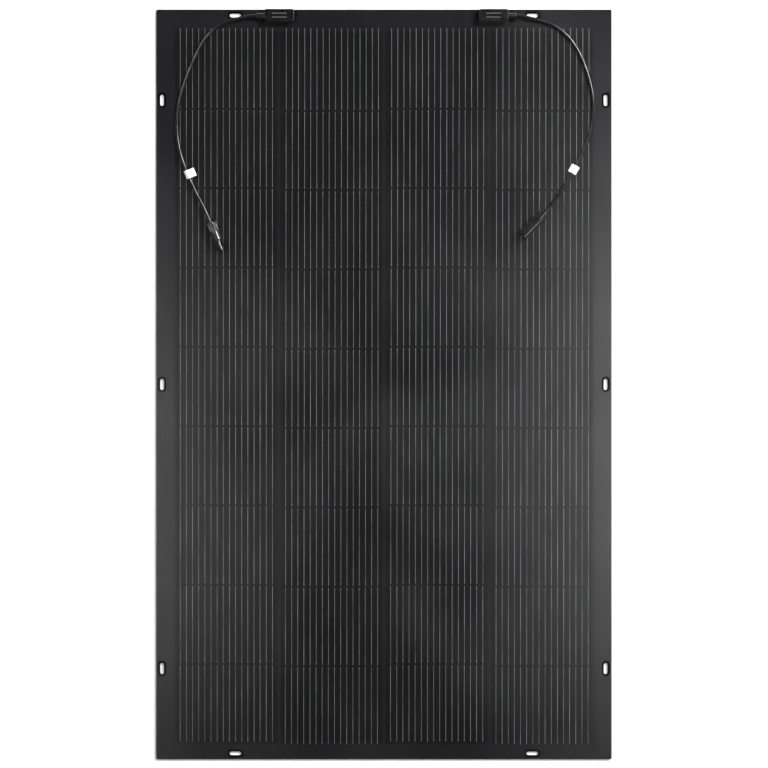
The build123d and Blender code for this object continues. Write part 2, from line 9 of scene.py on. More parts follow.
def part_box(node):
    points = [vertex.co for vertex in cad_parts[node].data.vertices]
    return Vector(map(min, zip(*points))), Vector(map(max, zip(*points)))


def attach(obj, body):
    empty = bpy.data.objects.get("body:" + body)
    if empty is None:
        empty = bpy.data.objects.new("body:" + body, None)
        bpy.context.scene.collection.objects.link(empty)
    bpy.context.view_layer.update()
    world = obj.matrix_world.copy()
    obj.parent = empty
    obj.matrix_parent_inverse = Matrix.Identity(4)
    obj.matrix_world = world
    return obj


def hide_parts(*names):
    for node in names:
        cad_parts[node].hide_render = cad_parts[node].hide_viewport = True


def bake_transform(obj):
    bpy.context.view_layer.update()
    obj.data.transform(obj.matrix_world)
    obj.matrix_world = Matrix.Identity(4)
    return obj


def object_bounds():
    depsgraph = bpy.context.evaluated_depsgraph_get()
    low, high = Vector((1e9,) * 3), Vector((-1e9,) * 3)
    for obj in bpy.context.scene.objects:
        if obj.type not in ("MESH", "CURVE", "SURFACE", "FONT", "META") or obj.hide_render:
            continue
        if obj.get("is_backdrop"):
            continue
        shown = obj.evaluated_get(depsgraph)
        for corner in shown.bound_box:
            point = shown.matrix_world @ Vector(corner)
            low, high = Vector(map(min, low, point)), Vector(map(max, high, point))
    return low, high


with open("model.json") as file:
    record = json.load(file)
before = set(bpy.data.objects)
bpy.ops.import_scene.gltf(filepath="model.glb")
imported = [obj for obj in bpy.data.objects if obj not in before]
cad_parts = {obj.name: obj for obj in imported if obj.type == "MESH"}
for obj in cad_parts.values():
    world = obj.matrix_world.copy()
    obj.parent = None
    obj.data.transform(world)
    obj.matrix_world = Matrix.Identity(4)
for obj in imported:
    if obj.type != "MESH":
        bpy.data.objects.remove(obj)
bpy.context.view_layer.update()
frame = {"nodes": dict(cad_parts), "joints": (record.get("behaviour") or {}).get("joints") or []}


# ---------------------------------------------------------------- back board
# A thin board of glass cloth in black epoxy that carries the cells. It is pressed flat, cut to
# outline with small corner radii, and punched with ten mounting slots through all its layers.

BOARD_BAND = "back_board_rows_1_3"
SHEET_CORNER_R = 0.003
SLOT_LENGTH = 0.0205
SLOT_WIDTH = 0.007
SLOT_END_SHARE = 0.499                          # of the width, just short of a half circle
SIDE_SLOT_X = 0.3935
SIDE_SLOT_PITCH = 0.504
END_SLOT_X = 0.2633
END_SLOT_Y = 0.6545
SEAMS_Y = (0.1352, -0.0120, -0.1462, -0.2869)   # between the bends, clear of the slots
MESH_ROW = 0.006
MESH_COLUMNS = 16
OVERSHOOT = 0.0065                              # of the block past the outline that trims it
CUTTER_HEIGHT = 0.02
CORNER_STEPS = 8
SHARP_EDGE = math.radians(35)
BOARD_COLOUR = "17181A"
BOARD_THREAD_COLOUR = "232528"
CLOTH_PITCH_MM = 3.0                            # a weave of about 1 mm, drawn coarser to show
MIDDLING = {"From Min": 0.3, "From Max": 0.7}   # the range that holds most of a noise's values


def colour(code):
    """A linear colour from its sRGB hex code."""
    parts = [int(code[i:i + 2], 16) / 255 for i in (0, 2, 4)]
    return (*[p / 12.92 if p <= 0.04045 else ((p + 0.055) / 1.055) ** 2.4 for p in parts], 1.0)


def add(tree, kind, feeds=None, **settings):
    """Adds a node with its settings, and feeds its sockets with values or from other nodes."""
    node = tree.nodes.new(kind)
    for name, value in settings.items():
        setattr(node, name, value)
    for socket, value in (feeds or {}).items():
        for one in value if isinstance(value, list) else [value]:
            if isinstance(one, bpy.types.Node):
                one = next(s for s in one.outputs if s.enabled)
            if isinstance(one, bpy.types.NodeSocket):
                tree.links.new(one, node.inputs[socket])
            else:
                node.inputs[socket].default_value = one
    return node


def start_material(name, **constants):
    """Returns a new material, its tree and its shader, with the constant sockets set."""
    material = bpy.data.materials.new(name)
    material.use_nodes = True
    tree = material.node_tree
    tree.nodes.clear()
    shader = add(tree, "ShaderNodeBsdfPrincipled")
    for socket, value in constants.items():
        shader.inputs[socket.replace("_", " ")].default_value = value
    add(tree, "ShaderNodeOutputMaterial", {"Surface": shader})
    return material, tree, shader


def start_shape(name, **sizes):
    """A Geometry Nodes tree with named inputs, given as input=socket kind."""
    tree = bpy.data.node_groups.new(name, "GeometryNodeTree")
    tree.interface.new_socket("Geometry", in_out="OUTPUT", socket_type="NodeSocketGeometry")
    tree.interface.new_socket("Geometry", in_out="INPUT", socket_type="NodeSocketGeometry")
    for label, kind in sizes.items():
        tree.interface.new_socket(label, in_out="INPUT", socket_type="NodeSocket" + kind)
    return tree, add(tree, "NodeGroupInput").outputs


def shape(name, base, tree, **sizes):
    """The plain mesh that a tree makes from the base mesh, as an object at the origin."""
    piece = bpy.data.objects.new(name, base)
    bpy.context.scene.collection.objects.link(piece)
    modifier = piece.modifiers.new(tree.name, "NODES")
    modifier.node_group = tree
    for item in tree.interface.items_tree:
        if item.in_out == "INPUT" and item.name in sizes:
            modifier[item.identifier] = sizes[item.name]
    made = piece.evaluated_get(bpy.context.evaluated_depsgraph_get())
    mesh = bpy.data.meshes.new_from_object(made)
    mesh.materials.clear()
    mesh.materials.append(sizes["Material"])
    mesh.polygons.foreach_set("material_index", [0] * len(mesh.polygons))
    piece.modifiers.clear()
    piece.data = mesh
    mesh.name = name
    return piece


def keep_rest(piece):
    """Stores where each point lies on the flat sheet, for the patterns to follow."""
    points = [value for v in piece.data.vertices for value in v.co]
    rest = piece.data.attributes.new("rest", "FLOAT_VECTOR", "POINT")
    rest.data.foreach_set("vector", points)


def prism(tree, width, length, corner):
    """A closed block with rounded corners that reaches through the whole laminate."""
    outline = add(tree, "GeometryNodeCurvePrimitiveQuadrilateral",
                  {"Width": width, "Height": length})
    rounded = add(tree, "GeometryNodeFilletCurve",
                  {"Curve": outline, "Radius": corner, "Count": CORNER_STEPS}, mode="POLY")
    face = add(tree, "GeometryNodeFillCurve", {"Curve": rounded}, mode="NGONS")
    raised = add(tree, "GeometryNodeExtrudeMesh",
                 {"Mesh": face, "Offset Scale": CUTTER_HEIGHT, "Individual": False}, mode="FACES")
    under = add(tree, "GeometryNodeFlipFaces", {"Mesh": face})
    both = add(tree, "GeometryNodeJoinGeometry", {"Geometry": [raised, under]})
    closed = add(tree, "GeometryNodeMergeByDistance", {"Geometry": both})
    return add(tree, "GeometryNodeTransform",
               {"Geometry": closed, "Translation": (0, 0, -CUTTER_HEIGHT / 2)})


laminate_tree, given = start_shape(
    "laminate layer", **{"Block Size": "Vector", "Block Centre": "Vector", "Rows": "Int",
                         "Columns": "Int", "Outline Width": "Float", "Outline Length": "Float",
                         "Corner Radius": "Float", "Slot Length": "Float", "Slot Width": "Float",
                         "Material": "Material"})
block = add(laminate_tree, "GeometryNodeMeshCube",
            {"Size": given["Block Size"], "Vertices X": given["Columns"],
             "Vertices Y": given["Rows"], "Vertices Z": 2})
placed_block = add(laminate_tree, "GeometryNodeTransform",
                   {"Geometry": block, "Translation": given["Block Centre"]})
sheet_outline = prism(laminate_tree, given["Outline Width"], given["Outline Length"],
                      given["Corner Radius"])
slot_end_radius = add(laminate_tree, "ShaderNodeMath",
                      {0: given["Slot Width"], 1: SLOT_END_SHARE}, operation="MULTIPLY")
slot_cutter = prism(laminate_tree, given["Slot Length"], given["Slot Width"], slot_end_radius)
slot_turn = add(laminate_tree, "GeometryNodeInputNamedAttribute", {"Name": "turn"},
                data_type="FLOAT")
slot_rotation = add(laminate_tree, "ShaderNodeCombineXYZ", {"Z": slot_turn})
slot_cutters = add(laminate_tree, "GeometryNodeInstanceOnPoints",
                   {"Points": given["Geometry"], "Instance": slot_cutter,
                    "Rotation": slot_rotation})
real_cutters = add(laminate_tree, "GeometryNodeRealizeInstances", {"Geometry": slot_cutters})
trimmed = add(laminate_tree, "GeometryNodeMeshBoolean", {1: [placed_block, sheet_outline]},
              operation="INTERSECT")
punched = add(laminate_tree, "GeometryNodeMeshBoolean", {0: trimmed, 1: real_cutters},
              operation="DIFFERENCE")
laminate_done = add(laminate_tree, "GeometryNodeRealizeInstances", {"Geometry": punched})
laminate_faced = add(laminate_tree, "GeometryNodeSetMaterial",
                     {"Geometry": laminate_done, "Material": given["Material"]})
add(laminate_tree, "NodeGroupOutput", {"Geometry": laminate_faced})

slot_places = [(side * SIDE_SLOT_X, row * SIDE_SLOT_PITCH, math.pi / 2)
               for side in (-1, 1) for row in (-1, 0, 1)]
slot_places += [(side * END_SLOT_X, end * END_SLOT_Y, 0.0) for side in (-1, 1) for end in (-1, 1)]
slot_points = bpy.data.meshes.new("slot_places")
slot_points.from_pydata([(x, y, 0) for x, y, turn in slot_places], [], [])
slot_points.attributes.new("turn", "FLOAT", "POINT").data.foreach_set(
    "value", [turn for x, y, turn in slot_places])

board_low, board_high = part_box(BOARD_BAND)
sheet_end = board_high.y
sheet_side = board_high.x
bends = [joint for joint in frame["joints"] if joint["name"].startswith("bend_below")]
bands = ["rows_1_3", "row_4", "row_5", "row_6", "row_7", "rows_8_9"]
part_limits = [sheet_end + OVERSHOOT, *SEAMS_Y, -sheet_end - OVERSHOOT]


def covered_bands(number):
    """The bands of rows that a part stands for: one for each part, and two for the last."""
    if number == len(bends) - 1:
        return bands[number:]
    return bands[number:number + 1]


def bend(piece):
    """Bakes the piece's placing into its mesh, which stays flat."""
    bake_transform(piece)


def laminate_layer(name, low, high, material, replaced):
    """One layer in five parts, one for each bend, and each stands for the CAD bands it covers."""
    for number, joint in enumerate(bends):
        top, bottom = part_limits[number], part_limits[number + 1]
        piece = shape(
            f"{name}_{number + 1}", slot_points, laminate_tree,
            **{"Block Size": (2 * (sheet_side + OVERSHOOT), top - bottom, high - low),
               "Block Centre": (0, (top + bottom) / 2, (low + high) / 2),
               "Rows": 1 + round((top - bottom) / MESH_ROW), "Columns": MESH_COLUMNS,
               "Outline Width": 2 * sheet_side, "Outline Length": 2 * sheet_end,
               "Corner Radius": SHEET_CORNER_R, "Slot Length": SLOT_LENGTH,
               "Slot Width": SLOT_WIDTH, "Material": material})
        piece.data.shade_smooth()
        piece.data.set_sharp_from_angle(angle=SHARP_EDGE)
        keep_rest(piece)
        bend(piece)
        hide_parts(*[f"{layer}_{band}" for layer in replaced
                             for band in covered_bands(number)])


# Glass cloth in black epoxy: a dark, slightly glossy board with the weave's relief.
board_black, tree, shader = start_material("glass cloth board", IOR=1.55)
rest = add(tree, "ShaderNodeAttribute", attribute_name="rest").outputs["Vector"]
threads = add(tree, "ShaderNodeVectorMath", {0: rest, "Scale": 1000 * math.tau / CLOTH_PITCH_MM},
              operation="SCALE")
waves = add(tree, "ShaderNodeSeparateXYZ",
            {"Vector": add(tree, "ShaderNodeVectorMath", {0: threads}, operation="SINE")})
weave = add(tree, "ShaderNodeMath", {0: waves.outputs["X"], 1: waves.outputs["Y"]},
            operation="MULTIPLY")
weave_share = add(tree, "ShaderNodeMapRange", {"Value": weave, "From Min": -1.0, "From Max": 1.0})
cloud = add(tree, "ShaderNodeTexNoise", {"Vector": rest, "Scale": 9.0, "Detail": 5.0})
weave_colour = add(tree, "ShaderNodeMix",
                   {0: weave_share, 6: colour(BOARD_COLOUR), 7: colour(BOARD_THREAD_COLOUR)},
                   data_type="RGBA")
cloudy = add(tree, "ShaderNodeMapRange",
             {"Value": cloud, **MIDDLING, "To Min": 0.75, "To Max": 1.15})
board_shade = add(tree, "ShaderNodeVectorMath", {0: weave_colour, "Scale": cloudy},
                  operation="SCALE")
board_gloss = add(tree, "ShaderNodeMapRange",
                  {"Value": cloud, **MIDDLING, "To Min": 0.38, "To Max": 0.5})
relief = add(tree, "ShaderNodeBump", {"Height": weave_share, "Strength": 0.25, "Distance": 0.0002})
tree.links.new(board_shade.outputs[0], shader.inputs["Base Color"])
tree.links.new(board_gloss.outputs[0], shader.inputs["Roughness"])
tree.links.new(relief.outputs[0], shader.inputs["Normal"])

laminate_layer("back_board", board_low.z, board_high.z, board_black, ["back_board"])


# ---------------------------------------------------------------- encapsulated cells
# The cells and their wires are melted into two sheets of black encapsulant, which show only as
# the line between board and film at the edges and in the slots.

ENCAPSULANT_COLOUR = "101112"
EDGE_GRAIN_MM = 0.8

core_low = board_high.z
core_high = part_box("front_film_rows_1_3")[0].z

# Cross-linked encapsulant, cut with the sheet: dull black with a faint sawn grain.
encapsulant, tree, shader = start_material("cut encapsulant", IOR=1.48)
rest = add(tree, "ShaderNodeAttribute", attribute_name="rest").outputs["Vector"]
grain = add(tree, "ShaderNodeTexNoise",
            {"Vector": rest, "Scale": 1000 / EDGE_GRAIN_MM, "Detail": 3.0})
grain_share = add(tree, "ShaderNodeMapRange",
                  {"Value": grain, **MIDDLING, "To Min": 0.7, "To Max": 1.3})
edge_shade = add(tree, "ShaderNodeVectorMath",
                 {0: colour(ENCAPSULANT_COLOUR)[:3], "Scale": grain_share}, operation="SCALE")
edge_gloss = add(tree, "ShaderNodeMapRange",
                 {"Value": grain, **MIDDLING, "To Min": 0.5, "To Max": 0.7})
relief = add(tree, "ShaderNodeBump", {"Height": grain, "Strength": 0.4, "Distance": 0.0001})
tree.links.new(edge_shade.outputs[0], shader.inputs["Base Color"])
tree.links.new(edge_gloss.outputs[0], shader.inputs["Roughness"])
tree.links.new(relief.outputs[0], shader.inputs["Normal"])

laminate_layer("encapsulated_cells", core_low, core_high, encapsulant,
               ["rear_encapsulant", "cells", "front_encapsulant"])


# ---------------------------------------------------------------- front film
# A clear fluoropolymer film, embossed with fine staggered dimples, over black back-contacted
# silicon. Film and cells read as one dark satin surface, a little paler where there is no cell,
# with a smooth dark ring round each slot. The dimples' light and shade are painted into the
# colour.

CELL_WIDTH_MM = 182.0
CELL_LENGTH_MM = 140.0
COLUMN_PITCH_MM = 186.7
ROW_PITCH_MM = 140.7
ROWS = 9
MATRIX_SIDE_MM = 371.0
MATRIX_TOP_MM = 627.35
COLUMN_BLUR_MM = 0.6         # a cell's side fades out over this on each side of it
ROW_BLUR_MM = 0.4
END_LINE_MM = (2.2, 0.8)     # a paler line inside each end of a cell: where it starts and is full
END_LINE_SHARE = 0.2
MIDDLE_LINE_MM = (0.3, 1.3)  # and one across its middle: where it starts to fade and is gone
MIDDLE_LINE_SHARE = 0.12
RING_MM = (6.4, 7.6)         # the ring's solid part and its rim, from a slot's middle line
PAST_SHEET_MM = 5000.0       # a repeat so wide that the pattern comes only once
THICKNESS_MM = 9.0           # more than the film's, so that height never repeats
EMBOSS_PITCH_MM = 4.4        # dimples of about 1.5 mm, drawn coarser so that they show
BORDER_SHINE = 0.5
CELL_SHINE = 0.36
RING_SHINE = 0.03
BORDER_COLOUR = "131315"
CELL_COLOUR = "0E0E0F"
CELL_LINE_COLOUR = "202022"
SLOT_RING_COLOUR = "020202"

film_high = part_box("front_film_rows_1_3")[1].z
top_row_middle_mm = MATRIX_TOP_MM - CELL_LENGTH_MM / 2
matrix_bottom_mm = MATRIX_TOP_MM - ROWS * ROW_PITCH_MM + (ROW_PITCH_MM - CELL_LENGTH_MM)
half_width_mm = CELL_WIDTH_MM / 2
half_length_mm = CELL_LENGTH_MM / 2

front_film, tree, shader = start_material("embossed film over silicon", IOR=1.42)
rest = add(tree, "ShaderNodeAttribute", attribute_name="rest").outputs["Vector"]
in_mm = add(tree, "ShaderNodeVectorMath", {0: rest, "Scale": 1000.0}, operation="SCALE")

# where the cells are: the distance from the middle of the nearest column and row
to_first = add(tree, "ShaderNodeVectorMath",
               {0: in_mm, 1: (COLUMN_PITCH_MM / 2, top_row_middle_mm, 0.0)}, operation="SUBTRACT")
in_cell = add(tree, "ShaderNodeVectorMath",
              {0: to_first, 1: (COLUMN_PITCH_MM / 2, ROW_PITCH_MM / 2, THICKNESS_MM),
               2: (-COLUMN_PITCH_MM / 2, -ROW_PITCH_MM / 2, -THICKNESS_MM)}, operation="WRAP")
from_middle = add(tree, "ShaderNodeSeparateXYZ",
                  {0: add(tree, "ShaderNodeVectorMath", {0: in_cell}, operation="ABSOLUTE")})
inside_column = add(tree, "ShaderNodeMapRange",
                    {"Value": from_middle.outputs["X"], "From Min": half_width_mm - COLUMN_BLUR_MM,
                     "From Max": half_width_mm + COLUMN_BLUR_MM, "To Min": 1.0, "To Max": 0.0})
inside_row = add(tree, "ShaderNodeMapRange",
                 {"Value": from_middle.outputs["Y"], "From Min": half_length_mm - ROW_BLUR_MM,
                  "From Max": half_length_mm + ROW_BLUR_MM, "To Min": 1.0, "To Max": 0.0})
cell_edge = add(tree, "ShaderNodeMapRange",
                {"Value": from_middle.outputs["Y"], "From Min": half_length_mm - END_LINE_MM[0],
                 "From Max": half_length_mm - END_LINE_MM[1], "To Min": 0.0,
                 "To Max": END_LINE_SHARE})
middle_line = add(tree, "ShaderNodeMapRange",
                  {"Value": from_middle.outputs["Y"], "From Min": MIDDLE_LINE_MM[0],
                   "From Max": MIDDLE_LINE_MM[1], "To Min": MIDDLE_LINE_SHARE, "To Max": 0.0})
folded = add(tree, "ShaderNodeVectorMath", {0: in_mm}, operation="ABSOLUTE")
folded_parts = add(tree, "ShaderNodeSeparateXYZ", {0: folded})
flat_parts = add(tree, "ShaderNodeSeparateXYZ", {0: in_mm})
inside_matrix_x = add(tree, "ShaderNodeMath", {0: folded_parts.outputs["X"], 1: MATRIX_SIDE_MM},
                      operation="LESS_THAN")
below_top = add(tree, "ShaderNodeMath", {0: flat_parts.outputs["Y"], 1: MATRIX_TOP_MM},
                operation="LESS_THAN")
above_bottom = add(tree, "ShaderNodeMath", {0: flat_parts.outputs["Y"], 1: matrix_bottom_mm},
                   operation="GREATER_THAN")
cell_share = inside_column
for limit in (inside_row, inside_matrix_x, below_top, above_bottom):
    cell_share = add(tree, "ShaderNodeMath", {0: cell_share, 1: limit}, operation="MULTIPLY")
line_share = add(tree, "ShaderNodeMath", {0: cell_edge, 1: middle_line}, operation="ADD")
line_share = add(tree, "ShaderNodeMath", {0: line_share, 1: cell_share}, operation="MULTIPLY")

# the smooth ring round each slot: the distance from the slots' middle lines
half_straight_mm = (SLOT_LENGTH - SLOT_WIDTH) * 500
slot_distances = []
for repeat, centre, straight in (
        (SIDE_SLOT_PITCH * 500, (SIDE_SLOT_X * 1000, 0.0, 0.0), (0.0, half_straight_mm, 0.0)),
        (PAST_SHEET_MM, (END_SLOT_X * 1000, END_SLOT_Y * 1000, 0.0),
         (half_straight_mm, 0.0, 0.0))):
    step = add(tree, "ShaderNodeVectorMath",
               {0: in_mm, 1: (PAST_SHEET_MM, repeat, THICKNESS_MM),
                2: (-PAST_SHEET_MM, -repeat, -THICKNESS_MM)}, operation="WRAP")
    for amount in (centre, straight):
        step = add(tree, "ShaderNodeVectorMath", {0: step}, operation="ABSOLUTE")
        step = add(tree, "ShaderNodeVectorMath", {0: step, 1: amount}, operation="SUBTRACT")
        if amount is straight:
            step = add(tree, "ShaderNodeVectorMath", {0: step, 1: (0.0, 0.0, 0.0)},
                       operation="MAXIMUM")
    step = add(tree, "ShaderNodeVectorMath", {0: step, 1: (1.0, 1.0, 0.0)}, operation="MULTIPLY")
    slot_distances.append(add(tree, "ShaderNodeVectorMath", {0: step},
                              operation="LENGTH").outputs["Value"])
to_slot = add(tree, "ShaderNodeMath", {0: slot_distances[0], 1: slot_distances[1]},
              operation="MINIMUM")
ring_share = add(tree, "ShaderNodeMapRange",
                 {"Value": to_slot, "From Min": RING_MM[0], "From Max": RING_MM[1],
                  "To Min": 1.0, "To Max": 0.0})

# the dimples, their painted shade and highlight, and the unevenness of a rolled film
dimple_phase = add(tree, "ShaderNodeVectorMath", {0: in_mm, "Scale": math.tau / EMBOSS_PITCH_MM},
                   operation="SCALE")
dimple_waves = add(tree, "ShaderNodeSeparateXYZ",
                   {0: add(tree, "ShaderNodeVectorMath", {0: dimple_phase}, operation="SINE")})
dimples = add(tree, "ShaderNodeMath",
              {0: dimple_waves.outputs["X"], 1: dimple_waves.outputs["Y"]}, operation="MULTIPLY")
film_cloud = add(tree, "ShaderNodeTexNoise", {"Vector": rest, "Scale": 5.0, "Detail": 4.0})
film_streak = add(tree, "ShaderNodeTexNoise",
                  {"Vector": add(tree, "ShaderNodeVectorMath", {0: rest, 1: (60.0, 4.0, 1.0)},
                                 operation="MULTIPLY"), "Scale": 1.0, "Detail": 3.0})
dimple_depth = add(tree, "ShaderNodeMapRange",
                   {"Value": film_cloud, "From Min": 0.35, "From Max": 0.65, "To Min": 0.5,
                    "To Max": 1.0})
dimple_height = add(tree, "ShaderNodeMath", {0: dimples, 1: dimple_depth}, operation="MULTIPLY")
no_ring = add(tree, "ShaderNodeMath", {0: 1.0, 1: ring_share}, operation="SUBTRACT")
dimple_height = add(tree, "ShaderNodeMath", {0: dimple_height, 1: no_ring}, operation="MULTIPLY")

under_film = add(tree, "ShaderNodeMix",
                 {0: cell_share, 6: colour(BORDER_COLOUR), 7: colour(CELL_COLOUR)},
                 data_type="RGBA")
with_lines = add(tree, "ShaderNodeMix",
                 {0: line_share, 6: under_film, 7: colour(CELL_LINE_COLOUR)}, data_type="RGBA")
# painted shade and highlight of the dimples: colour and shine go darker in their hollows and paler
# on their crests
painted_dimple_shading = add(tree, "ShaderNodeMapRange",
                  {"Value": dimple_height, "From Min": -1.0, "From Max": 1.0, "To Min": 0.6,
                   "To Max": 1.4})
streak_tint = add(tree, "ShaderNodeMapRange",
                  {"Value": film_streak, **MIDDLING, "To Min": 0.88, "To Max": 1.12})
# the colour takes the dimples' painted shading times the film's random streaks
dimple_shading_and_streaks = add(tree, "ShaderNodeMath", {0: painted_dimple_shading, 1: streak_tint}, operation="MULTIPLY")
shaded_and_streaked = add(tree, "ShaderNodeVectorMath", {0: with_lines, "Scale": dimple_shading_and_streaks}, operation="SCALE")
film_shade = add(tree, "ShaderNodeMix", {0: ring_share, 6: shaded_and_streaked, 7: colour(SLOT_RING_COLOUR)},
                 data_type="RGBA")
film_gloss = add(tree, "ShaderNodeMapRange",
                 {"Value": film_cloud, "From Min": 0.35, "From Max": 0.65, "To Min": 0.22,
                  "To Max": 0.26})
film_shine = add(tree, "ShaderNodeMapRange",
                 {"Value": cell_share, "To Min": BORDER_SHINE, "To Max": CELL_SHINE})
film_shine = add(tree, "ShaderNodeMix", {0: ring_share, 2: film_shine, 3: RING_SHINE})
film_shine = add(tree, "ShaderNodeMath", {0: film_shine, 1: painted_dimple_shading}, operation="MULTIPLY")
relief = add(tree, "ShaderNodeBump",
             {"Height": dimple_height, "Strength": 0.5, "Distance": 0.0002})
tree.links.new(film_shade.outputs[2], shader.inputs["Base Color"])
tree.links.new(film_gloss.outputs[0], shader.inputs["Roughness"])
tree.links.new(film_shine.outputs[0], shader.inputs["Specular IOR Level"])
tree.links.new(relief.outputs[0], shader.inputs["Normal"])

laminate_layer("front_film", core_high, film_high, front_film, ["front_film"])


# ---------------------------------------------------------------- cell wires
# Sixteen fine tinned copper wires run down every cell and pass over the gap to the back of the
# next. Each is soldered to a small pad at its ends, and the film is drawn tight over them all, so
# they stand up as thin bright ridges.

RISING_COLUMNS = (0, 2)          # here the wires pass over the gap to the cell above
WIRES_PER_CELL = 16
WIRE_PITCH = 0.0109
WIRE_WIDTH = 0.0006
WIRE_HEIGHT = 0.00018
WIRE_PROUD = 0.00006
WIRE_SPANS = 8
LONGEST_RUN = 0.075
WIRE_SETBACK = 0.0034            # where a wire's free end stops short of the cell's far edge
TOP_BUS_REACH = 0.0042           # how far the top wires pass the cells, over the ribbon
BOTTOM_END_Y = -0.6334
WIRE_WANDER = 0.00012
# For each column's wires, how far aside they were laid, and how far they lean in a metre.
WIRE_SHIFTS = ((0.0005, 0.0), (0.0009, 0.0015), (0.0010, 0.0017), (0.0010, 0.0013))
PAD_LENGTH = 0.0036
PAD_BROAD = 1.4                  # times the wire's width
PAD_PROUD = 0.00004
WIRE_SEED = 7
WIRE_COLOUR = "A9AAAC"
WIRE_DULL_COLOUR = "6E7072"

wire_tree, given = start_shape(
    "wire ridges", **{"Wire Width": "Float", "Wire Height": "Float", "Spans": "Int",
                      "Material": "Material"})
points_along = add(wire_tree, "ShaderNodeMath", {0: given["Spans"], 1: 1.0}, operation="ADD")
ridge = add(wire_tree, "GeometryNodeMeshCube",
            {"Size": (1.0, 1.0, 1.0), "Vertices X": 2, "Vertices Y": points_along,
             "Vertices Z": 2})
ridge_place = add(wire_tree, "GeometryNodeInputPosition")
ridge_parts = add(wire_tree, "ShaderNodeSeparateXYZ", {0: ridge_place})
narrowing = add(wire_tree, "ShaderNodeMath", {0: ridge_parts.outputs["Z"], 1: -0.5, 2: 0.75},
                operation="MULTIPLY_ADD")
narrowed = add(wire_tree, "ShaderNodeMath", {0: ridge_parts.outputs["X"], 1: narrowing},
               operation="MULTIPLY")
ridge_point = add(wire_tree, "ShaderNodeCombineXYZ",
                  {"X": narrowed, "Y": ridge_parts.outputs["Y"], "Z": ridge_parts.outputs["Z"]})
tapered = add(wire_tree, "GeometryNodeSetPosition", {"Geometry": ridge, "Position": ridge_point})
run = add(wire_tree, "GeometryNodeInputNamedAttribute", {"Name": "run"}, data_type="FLOAT")
broad = add(wire_tree, "GeometryNodeInputNamedAttribute", {"Name": "broad"}, data_type="FLOAT")
ridge_width = add(wire_tree, "ShaderNodeMath", {0: given["Wire Width"], 1: broad},
                  operation="MULTIPLY")
ridge_size = add(wire_tree, "ShaderNodeCombineXYZ",
                 {"X": ridge_width, "Y": run, "Z": given["Wire Height"]})
ridges = add(wire_tree, "GeometryNodeInstanceOnPoints",
             {"Points": given["Geometry"], "Instance": tapered, "Scale": ridge_size})
real_ridges = add(wire_tree, "GeometryNodeRealizeInstances", {"Geometry": ridges})
faced_ridges = add(wire_tree, "GeometryNodeSetMaterial",
                   {"Geometry": real_ridges, "Material": given["Material"]})
add(wire_tree, "NodeGroupOutput", {"Geometry": faced_ridges})

# Solder-tinned copper under film: satin grey metal, dulled here and there by flux.
tinned_wire, tree, shader = start_material("tinned copper under film", Metallic=0.55)
rest = add(tree, "ShaderNodeAttribute", attribute_name="rest").outputs["Vector"]
flux = add(tree, "ShaderNodeTexNoise",
           {"Vector": add(tree, "ShaderNodeVectorMath", {0: rest, 1: (92.0, 14.0, 1.0)},
                          operation="MULTIPLY"), "Scale": 1.0, "Detail": 4.0})
flux_share = add(tree, "ShaderNodeMapRange", {"Value": flux, "From Min": 0.35, "From Max": 0.62})
wire_shade = add(tree, "ShaderNodeMix",
                 {0: flux_share, 6: colour(WIRE_DULL_COLOUR), 7: colour(WIRE_COLOUR)},
                 data_type="RGBA")
wire_gloss = add(tree, "ShaderNodeMapRange",
                 {"Value": flux_share, "To Min": 0.45, "To Max": 0.32})
tree.links.new(wire_shade.outputs[2], shader.inputs["Base Color"])
tree.links.new(wire_gloss.outputs[0], shader.inputs["Roughness"])


def visible_runs(column):
    """Where the wires of a column show, as (top, bottom) for each row."""
    for row in range(ROWS):
        top = (MATRIX_TOP_MM - row * ROW_PITCH_MM) / 1000
        bottom = top - CELL_LENGTH_MM / 1000
        if column in RISING_COLUMNS:
            yield (top + (TOP_BUS_REACH if row == 0 else 0.0),
                   BOTTOM_END_Y if row == ROWS - 1 else bottom + WIRE_SETBACK)
        else:
            yield (top + TOP_BUS_REACH if row == 0 else top - WIRE_SETBACK, bottom)


wander = random.Random(WIRE_SEED)
wire_runs = [[] for joint in bends]
for column, (shift, lean) in enumerate(WIRE_SHIFTS):
    middle = (column - (len(WIRE_SHIFTS) - 1) / 2) * COLUMN_PITCH_MM / 1000
    for wire in range(WIRES_PER_CELL):
        x = middle + shift + (wire - (WIRES_PER_CELL - 1) / 2) * WIRE_PITCH
        for top, bottom in visible_runs(column):
            shifted = x + lean * top + wander.uniform(-WIRE_WANDER, WIRE_WANDER)
            for number in range(len(bends)):
                high = min(top, part_limits[number])
                low = max(bottom, part_limits[number + 1])
                pieces = math.ceil((high - low) / LONGEST_RUN)
                for piece in range(pieces):
                    length = (high - low) / pieces
                    wire_runs[number].append(
                        (shifted, high - (piece + 0.5) * length, length, 1.0, WIRE_PROUD))
                for end in (top - PAD_LENGTH / 2, bottom + PAD_LENGTH / 2):
                    if low < end < high:
                        wire_runs[number].append((shifted, end, PAD_LENGTH, PAD_BROAD, PAD_PROUD))

for number, joint in enumerate(bends):
    run_points = bpy.data.meshes.new("wire_runs")
    run_points.from_pydata([(x, y, film_high + proud - WIRE_HEIGHT / 2)
                            for x, y, length, broad, proud in wire_runs[number]], [], [])
    for label, place in (("run", 2), ("broad", 3)):
        values = run_points.attributes.new(label, "FLOAT", "POINT")
        values.data.foreach_set("value", [one[place] for one in wire_runs[number]])
    wires = shape(f"cell_wires_{number + 1}", run_points, wire_tree,
                  **{"Wire Width": WIRE_WIDTH, "Wire Height": WIRE_HEIGHT, "Spans": WIRE_SPANS,
                     "Material": tinned_wire})
    keep_rest(wires)
    bend(wires)
    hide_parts(*[f"cell_wires_{band}" for band in covered_bands(number)])


# ---------------------------------------------------------------- bus ribbons
# Flat copper ribbons gather the wires along both ends of the columns. They are coated black so
# that they vanish under the film, and two tabs rise from the top ones into each junction box.

